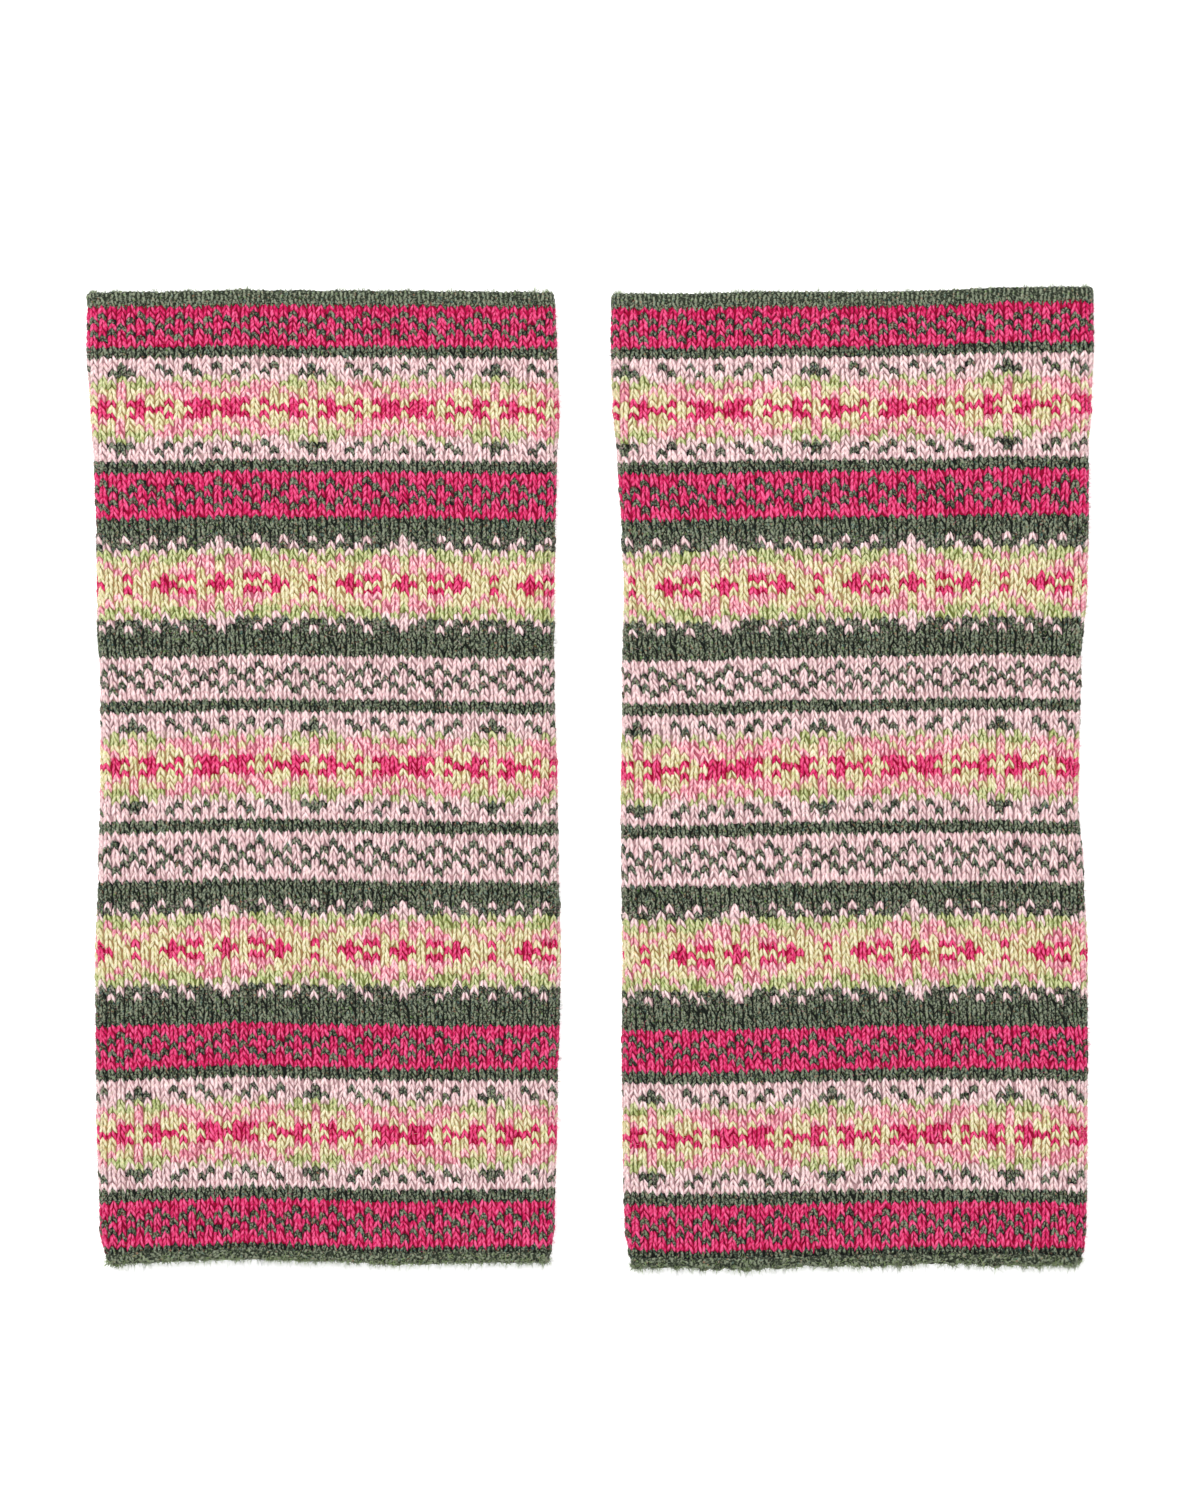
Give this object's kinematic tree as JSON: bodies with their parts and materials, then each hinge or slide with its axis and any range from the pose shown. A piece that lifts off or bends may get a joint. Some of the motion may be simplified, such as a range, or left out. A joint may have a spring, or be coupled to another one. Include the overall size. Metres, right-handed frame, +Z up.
{
  "type": "pair of knitted wrist warmers",
  "caption": "Two knitted wool tubes for the wrists, laid flat side by side, with coloured bands, a turned welt at the top end and a rolled edge at the bottom end.",
  "frame": {"origin": "at table level, in the middle of the pair's box", "axes": "+X to the right across the pair, +Y along the tubes towards the turned welts, +Z up from the table"},
  "size_m": [0.2168, 0.2124, 0.0053],
  "materials": {
    "patterned_wool": "soft, slightly hairy stranded wool in raspberry, two pinks, two light greens and dark green",
    "green_wool": "soft, slightly hairy heathered dark green wool"
  },
  "bodies": {
    "root": {"left_tube": "patterned_wool", "left_top_welt": "green_wool", "left_bottom_edge": "green_wool", "right_tube": "patterned_wool", "right_top_welt": "green_wool", "right_bottom_edge": "green_wool"}
  },
  "joints": []
}
